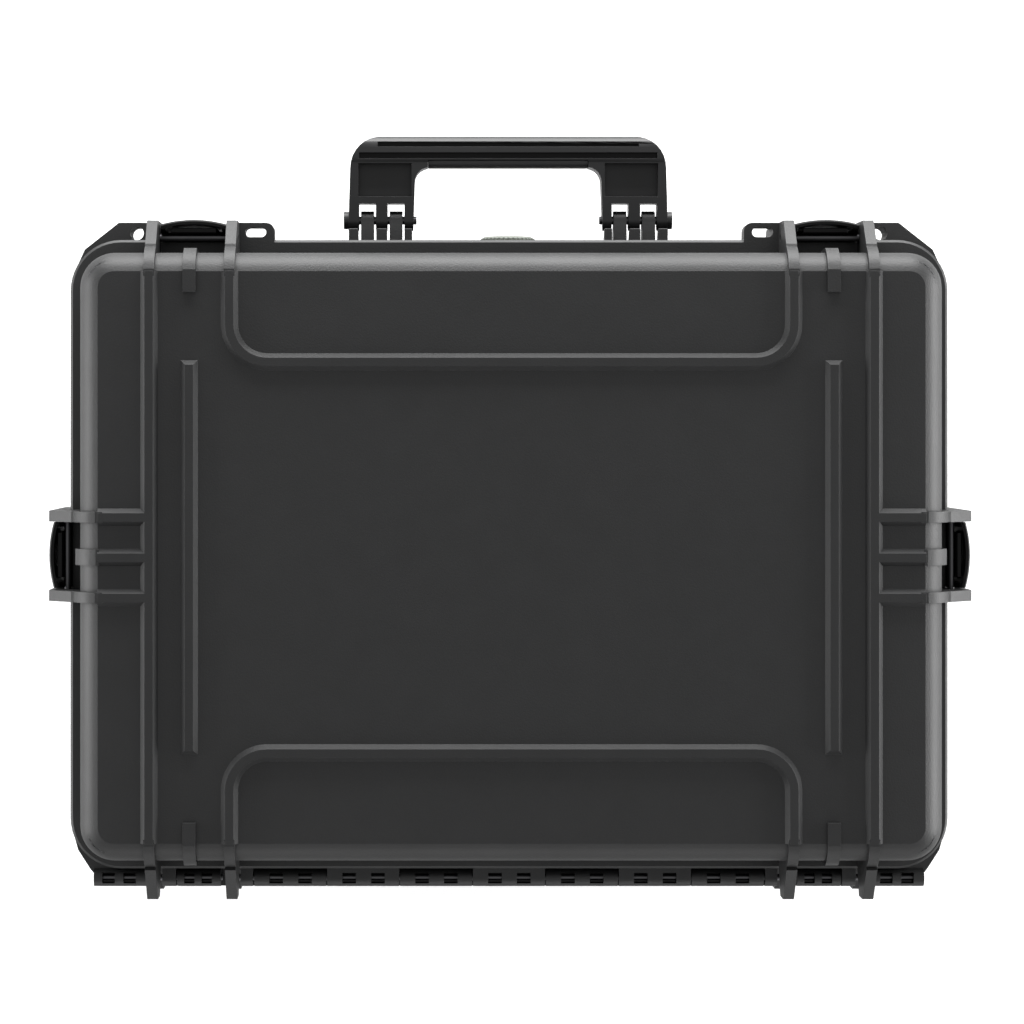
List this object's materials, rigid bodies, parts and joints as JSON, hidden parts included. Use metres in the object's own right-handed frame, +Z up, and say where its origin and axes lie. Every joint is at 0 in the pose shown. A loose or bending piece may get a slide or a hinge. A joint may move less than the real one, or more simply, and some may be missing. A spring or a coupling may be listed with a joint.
{
  "type": "laptop hard case",
  "caption": "Moulded hard case for a laptop, with a hinged lid, toggle latches, a folding handle, a pressure valve, a rim seal and fitted foam.",
  "frame": {"origin": "on the floor under the middle of the whole case, its handle out as in the picture", "axes": "+Z up out of the lid, +Y towards the hinge, -Y towards the handle and front latches, +X along the case's width"},
  "size_m": [0.559, 0.465, 0.211],
  "materials": {
    "base_moulding": "fine moulded texture",
    "lid_moulding": "fine moulded texture",
    "steel_pin": "bright drawn steel",
    "handle_moulding": "fine moulded texture",
    "grip_rubber": "soft matt",
    "latch_moulding": "fine matt",
    "hook_moulding": "fine matt",
    "seal_rubber": "matt",
    "valve_moulding": "matt",
    "valve_cap_moulding": "knurled, matt",
    "base_foam": "open cell foam",
    "lid_foam": "open cell foam"
  },
  "bodies": {
    "base": {"base_shell": "base_moulding", "hinge_pin_centre": "steel_pin", "hinge_pin_left": "steel_pin", "hinge_pin_right": "steel_pin", "handle_pins": "steel_pin", "lever_pins": "steel_pin", "valve_body": "valve_moulding", "valve_nut": "valve_moulding", "valve_seal": "seal_rubber", "base_foam_pad": "base_foam", "base_foam_insert": "base_foam"},
    "lid": {"lid_shell": "lid_moulding", "rim_seal": "seal_rubber", "catch_bars": "steel_pin", "lid_foam": "lid_foam"},
    "handle": {"handle_frame": "handle_moulding", "handle_grip": "grip_rubber"},
    "valve_cap": {"valve_cap": "valve_cap_moulding"},
    "lever_front_left": {"latch_lever_front_left": "latch_moulding", "hook_pin_front_left": "steel_pin"},
    "hook_front_left": {"latch_hook_front_left": "hook_moulding"},
    "lever_front_right": {"latch_lever_front_right": "latch_moulding", "hook_pin_front_right": "steel_pin"},
    "hook_front_right": {"latch_hook_front_right": "hook_moulding"},
    "lever_side_left": {"latch_lever_side_left": "latch_moulding", "hook_pin_side_left": "steel_pin"},
    "hook_side_left": {"latch_hook_side_left": "hook_moulding"},
    "lever_side_right": {"latch_lever_side_right": "latch_moulding", "hook_pin_side_right": "steel_pin"},
    "hook_side_right": {"latch_hook_side_right": "hook_moulding"}
  },
  "joints": [
    {"name": "lid_hinge", "type": "hinge", "parent": "base", "child": "lid", "pos_m": [0, 0.2231, 0.148], "axis": [-1, 0, 0], "range_deg": [0, 100]},
    {"name": "handle_fold", "type": "hinge", "parent": "base", "child": "handle", "pos_m": [0, -0.1807, 0.127], "axis": [1, 0, 0], "range_deg": [-10, 90]},
    {"name": "valve_cap_turn", "type": "hinge", "parent": "base", "child": "valve_cap", "pos_m": [0, -0.1646, 0.122], "axis": [0, -1, 0], "range_deg": [0, 270]},
    {"name": "lever_front_left_swing", "type": "hinge", "parent": "base", "child": "lever_front_left", "pos_m": [-0.19195, -0.1701, 0.104], "axis": [1, 0, 0], "range_deg": [0, 100]},
    {"name": "hook_front_left_swing", "type": "hinge", "parent": "lever_front_left", "child": "hook_front_left", "pos_m": [-0.19195, -0.171, 0.136], "axis": [1, 0, 0], "range_deg": [-80, 0]},
    {"name": "lever_front_right_swing", "type": "hinge", "parent": "base", "child": "lever_front_right", "pos_m": [0.19195, -0.1701, 0.104], "axis": [1, 0, 0], "range_deg": [0, 100]},
    {"name": "hook_front_right_swing", "type": "hinge", "parent": "lever_front_right", "child": "hook_front_right", "pos_m": [0.19195, -0.171, 0.136], "axis": [1, 0, 0], "range_deg": [-80, 0]},
    {"name": "lever_side_left_swing", "type": "hinge", "parent": "base", "child": "lever_side_left", "pos_m": [-0.271, 0.0249, 0.104], "axis": [0, -1, 0], "range_deg": [0, 100]},
    {"name": "hook_side_left_swing", "type": "hinge", "parent": "lever_side_left", "child": "hook_side_left", "pos_m": [-0.2719, 0.0249, 0.136], "axis": [0, -1, 0], "range_deg": [-80, 0]},
    {"name": "lever_side_right_swing", "type": "hinge", "parent": "base", "child": "lever_side_right", "pos_m": [0.271, 0.0249, 0.104], "axis": [0, 1, 0], "range_deg": [0, 100]},
    {"name": "hook_side_right_swing", "type": "hinge", "parent": "lever_side_right", "child": "hook_side_right", "pos_m": [0.2719, 0.0249, 0.136], "axis": [0, 1, 0], "range_deg": [-80, 0]}
  ],
  "couplings": [
    {"joint": "hook_front_left_swing", "follows": "lever_front_left_swing", "ratio": -0.8},
    {"joint": "hook_front_right_swing", "follows": "lever_front_right_swing", "ratio": -0.8},
    {"joint": "hook_side_left_swing", "follows": "lever_side_left_swing", "ratio": -0.8},
    {"joint": "hook_side_right_swing", "follows": "lever_side_right_swing", "ratio": -0.8}
  ]
}
